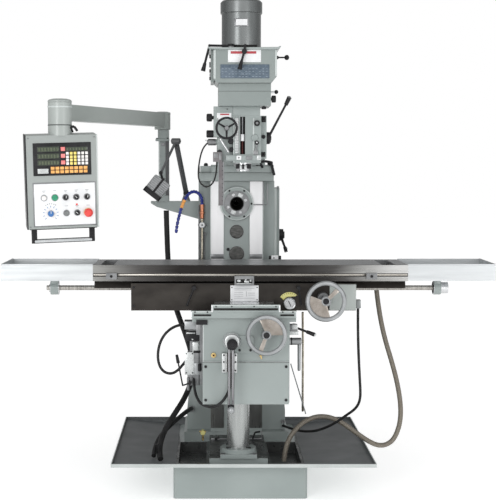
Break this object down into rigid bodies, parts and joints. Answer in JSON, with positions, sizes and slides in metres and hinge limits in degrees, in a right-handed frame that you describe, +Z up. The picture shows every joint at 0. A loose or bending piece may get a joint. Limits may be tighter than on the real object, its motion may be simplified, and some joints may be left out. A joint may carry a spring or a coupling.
{
  "type": "vertical milling machine",
  "caption": "Knee mill with a swivelling vertical head, a horizontal spindle, T-slotted table with end trays, control pendant on a swing arm, work lamp and chip pan.",
  "frame": {"origin": "on the floor under the base, straight below the middle of the column's front way face", "axes": "+X to the right seen from the operator's side, +Y from the operator towards the column, +Z up"},
  "size_m": [2.509, 1.7536, 2.542],
  "materials": {
    "grey_green_paint": "satin machine enamel, light grey-green",
    "ground_iron": "ground ways and table",
    "dark_iron": "oiled dark sides of the table and saddle",
    "bright_steel": "ground and polished steel",
    "tray_steel": "brushed sheet steel",
    "motor_grey": "metallic grey enamel",
    "pan_blue": "dark blue-grey enamel inside, bright lip",
    "black_metal": "black lever and bracket enamel",
    "satin_aluminium": "satin cast rim",
    "black_rubber": "cable sheath",
    "braided_hose": "woven grey-brown cover",
    "blue_hose": "jointed coolant hose",
    "red_plastic": "emergency stop mushroom",
    "green_plastic": "start button",
    "blue_plastic": "speed dial",
    "lamp_black": "lamp arms",
    "lamp_alloy": "finned lamp case",
    "pendant_paint": "light grey pendant case"
  },
  "bodies": {
    "machine": {"base_casting": "grey_green_paint", "column_casting": "grey_green_paint", "chip_pan": "pan_blue", "column_side_cover": "grey_green_paint", "spindle_flange": "bright_steel", "bore_plugs": "dark_iron", "screw_pedestal": "grey_green_paint", "rear_motor": "grey_green_paint", "pendant_post": "grey_green_paint", "coolant_line": "blue_hose", "power_hoses": "black_rubber", "table_hose": "braided_hose", "saddle_cable": "black_rubber"},
    "arbor_spindle": {"horizontal_spindle": "bright_steel"},
    "arbor_speed_lever": {"spindle_speed_lever": "black_metal"},
    "knee": {"knee_casting": "grey_green_paint", "knee_cover": "grey_green_paint", "way_wipers": "bright_steel", "knee_fittings": "black_metal", "lubricator": "tray_steel", "knee_hoses": "black_rubber"},
    "lube_pump_lever": {"lube_lever": "black_metal"},
    "knee_clamp": {"knee_lock_lever": "black_metal"},
    "lift_crank": {"knee_crank": "black_metal"},
    "lift_screw": {"elevating_screw": "bright_steel"},
    "cross_wheel": {"cross_handwheel": "satin_aluminium"},
    "saddle": {"saddle_casting": "dark_iron", "saddle_fittings": "bright_steel"},
    "left_table_clamp": {"table_lock_left": "black_metal"},
    "right_table_clamp": {"table_lock_right": "black_metal"},
    "traverse_wheel": {"traverse_handwheel": "satin_aluminium"},
    "feed_nut": {"drive_nut": "bright_steel"},
    "table": {"machine_table": "ground_iron", "end_trays": "tray_steel", "table_leadscrew": "bright_steel", "stop_dogs": "bright_steel"},
    "turret": {"turret_casting": "grey_green_paint"},
    "ram_bar": {"ram": "grey_green_paint"},
    "head": {"head_housing": "grey_green_paint", "gear_housing": "grey_green_paint", "belt_housing": "grey_green_paint", "head_motor": "motor_grey", "feed_box": "grey_green_paint", "head_scales": "bright_steel", "head_cable": "black_rubber"},
    "quill_sleeve": {"quill": "bright_steel"},
    "mill_spindle": {"vertical_spindle": "bright_steel"},
    "feed_wheel": {"feed_handwheel": "black_metal"},
    "quill_feed_lever": {"quill_lever": "black_metal"},
    "brake": {"brake_lever": "black_metal"},
    "speed_shift": {"speed_lever": "black_metal"},
    "range_shift": {"hilo_lever": "black_metal"},
    "boom": {"pendant_boom": "grey_green_paint"},
    "pendant": {"pendant_box": "pendant_paint"},
    "stop_mushroom": {"estop_button": "red_plastic"},
    "start_push": {"start_button": "green_plastic"},
    "speed_dial": {"speed_knob": "blue_plastic"},
    "lamp_lower": {"lamp_lower_arm": "lamp_black"},
    "lamp_upper": {"lamp_upper_arm": "lamp_black"},
    "lamp_shade": {"lamp_head": "lamp_alloy"}
  },
  "joints": [
    {"name": "lift_crank_turn", "type": "hinge", "parent": "knee", "child": "lift_crank", "pos_m": [-0.039, -0.7, 0.83], "axis": [0, 1, 0], "range_deg": [-28800, 28800]},
    {"name": "lift_screw_turn", "type": "hinge", "parent": "knee", "child": "lift_screw", "pos_m": [0, -0.44, 0.86], "axis": [0, 0, 1], "range_deg": [-14401, 14401]},
    {"name": "knee_lift", "type": "slide", "parent": "machine", "child": "knee", "axis": [0, 0, 1], "range_m": [-0.2001, 0.2001], "deforming": ["saddle_cable"]},
    {"name": "lube_pump_swing", "type": "hinge", "parent": "knee", "child": "lube_pump_lever", "pos_m": [-0.25, -0.57, 0.6], "axis": [0, 1, 0], "range_deg": [-15, 15]},
    {"name": "knee_clamp_swing", "type": "hinge", "parent": "knee", "child": "knee_clamp", "pos_m": [0.28, -0.52, 0.87], "axis": [0, 0, 1], "range_deg": [-30, 30]},
    {"name": "cross_wheel_turn", "type": "hinge", "parent": "knee", "child": "cross_wheel", "pos_m": [0.13, -0.745, 0.869], "axis": [0, 1, 0], "range_deg": [-7200, 9360]},
    {"name": "saddle_cross", "type": "slide", "parent": "knee", "child": "saddle", "axis": [0, -1, 0], "range_m": [-0.1001, 0.1301]},
    {"name": "traverse_wheel_turn", "type": "hinge", "parent": "saddle", "child": "traverse_wheel", "pos_m": [0.426, -0.69, 1.03], "axis": [0, 1, 0], "range_deg": [-28800, 27360]},
    {"name": "table_traverse", "type": "slide", "parent": "saddle", "child": "table", "axis": [1, 0, 0], "range_m": [-0.4001, 0.3801], "deforming": ["table_hose"]},
    {"name": "feed_nut_turn", "type": "hinge", "parent": "saddle", "child": "feed_nut", "pos_m": [0.426, -0.345, 1.062], "axis": [1, 0, 0], "range_deg": [-28801, 27361]},
    {"name": "left_table_clamp_swing", "type": "hinge", "parent": "saddle", "child": "left_table_clamp", "pos_m": [-0.229, -0.52, 1.08], "axis": [0, 1, 0], "range_deg": [-40, 40]},
    {"name": "right_table_clamp_swing", "type": "hinge", "parent": "saddle", "child": "right_table_clamp", "pos_m": [0.302, -0.52, 1.08], "axis": [0, 1, 0], "range_deg": [-40, 40]},
    {"name": "arbor_spindle_spin", "type": "hinge", "parent": "machine", "child": "arbor_spindle", "pos_m": [0, -0.032, 1.49], "axis": [0, -1, 0], "continuous": true},
    {"name": "arbor_speed_swing", "type": "hinge", "parent": "machine", "child": "arbor_speed_lever", "pos_m": [0.25, 0.26, 1.302], "axis": [1, 0, 0], "range_deg": [-45, 45]},
    {"name": "turret_swivel", "type": "hinge", "parent": "machine", "child": "turret", "pos_m": [0.022, 0.24, 1.66], "axis": [0, 0, 1], "range_deg": [-15, 45]},
    {"name": "ram_travel", "type": "slide", "parent": "turret", "child": "ram_bar", "axis": [0, -1, 0], "range_m": [-0.08, 0.25]},
    {"name": "head_tilt", "type": "hinge", "parent": "ram_bar", "child": "head", "pos_m": [0.022, -0.232, 1.85], "axis": [0, -1, 0], "range_deg": [-45, 45]},
    {"name": "quill_feed_turn", "type": "hinge", "parent": "head", "child": "quill_feed_lever", "pos_m": [0.15, -0.385, 1.84], "axis": [1, 0, 0], "range_deg": [0, 270]},
    {"name": "quill_travel", "type": "slide", "parent": "head", "child": "quill_sleeve", "axis": [0, 0, -1], "range_m": [0, 0.1271]},
    {"name": "mill_spindle_spin", "type": "hinge", "parent": "quill_sleeve", "child": "mill_spindle", "pos_m": [0.022, -0.345, 1.67], "axis": [0, 0, 1], "continuous": true},
    {"name": "feed_wheel_turn", "type": "hinge", "parent": "head", "child": "feed_wheel", "pos_m": [-0.064, -0.545, 1.887], "axis": [0, 1, 0], "continuous": true},
    {"name": "brake_swing", "type": "hinge", "parent": "head", "child": "brake", "pos_m": [-0.042, -0.47, 2.3], "axis": [0, 0, 1], "range_deg": [-15, 35]},
    {"name": "speed_shift_swing", "type": "hinge", "parent": "head", "child": "speed_shift", "pos_m": [0.024, -0.54, 2.268], "axis": [0, 1, 0], "range_deg": [-30, 30]},
    {"name": "range_shift_swing", "type": "hinge", "parent": "head", "child": "range_shift", "pos_m": [0.197, -0.4, 2.25], "axis": [0, 1, 0], "range_deg": [-25, 25]},
    {"name": "boom_swing", "type": "hinge", "parent": "machine", "child": "boom", "pos_m": [-0.411, 0.12, 1.95], "axis": [0, 0, -1], "range_deg": [-15, 60]},
    {"name": "pendant_swivel", "type": "hinge", "parent": "boom", "child": "pendant", "pos_m": [-0.855, -0.906, 1.92], "axis": [0, 0, 1], "range_deg": [-60, 60]},
    {"name": "emergency_stop_press", "type": "slide", "parent": "pendant", "child": "stop_mushroom", "axis": [-0.2153, 0.9709, 0.1045], "range_m": [0, 0.004], "stiffness_N_per_m": 1500},
    {"name": "start_press", "type": "slide", "parent": "pendant", "child": "start_push", "axis": [-0.2153, 0.9709, 0.1045], "range_m": [0, 0.003], "stiffness_N_per_m": 800},
    {"name": "speed_dial_turn", "type": "hinge", "parent": "pendant", "child": "speed_dial", "pos_m": [-0.89951, -0.92712, 1.47522], "axis": [0.2153, -0.9709, -0.1045], "range_deg": [-150, 150]},
    {"name": "lamp_swivel", "type": "hinge", "parent": "machine", "child": "lamp_lower", "pos_m": [-0.281, 0.12, 1.54], "axis": [0, 0, 1], "range_deg": [-20, 20]},
    {"name": "lamp_elbow", "type": "hinge", "parent": "lamp_lower", "child": "lamp_upper", "pos_m": [-0.33, -0.12, 1.829], "axis": [0.98, -0.199, 0], "range_deg": [-30, 20]},
    {"name": "lamp_tilt", "type": "hinge", "parent": "lamp_upper", "child": "lamp_shade", "pos_m": [-0.409, -0.16, 1.66], "axis": [0, 1, 0], "range_deg": [-30, 30]}
  ],
  "couplings": [
    {"joint": "knee_lift", "follows": "lift_crank_turn", "m_per_rad": 0.00039789},
    {"joint": "lift_screw_turn", "follows": "lift_crank_turn", "ratio": 0.5},
    {"joint": "saddle_cross", "follows": "cross_wheel_turn", "m_per_rad": 0.00079577},
    {"joint": "table_traverse", "follows": "traverse_wheel_turn", "m_per_rad": 0.00079577},
    {"joint": "feed_nut_turn", "follows": "traverse_wheel_turn", "ratio": 1},
    {"joint": "quill_travel", "follows": "quill_feed_turn", "m_per_rad": 0.02695}
  ]
}
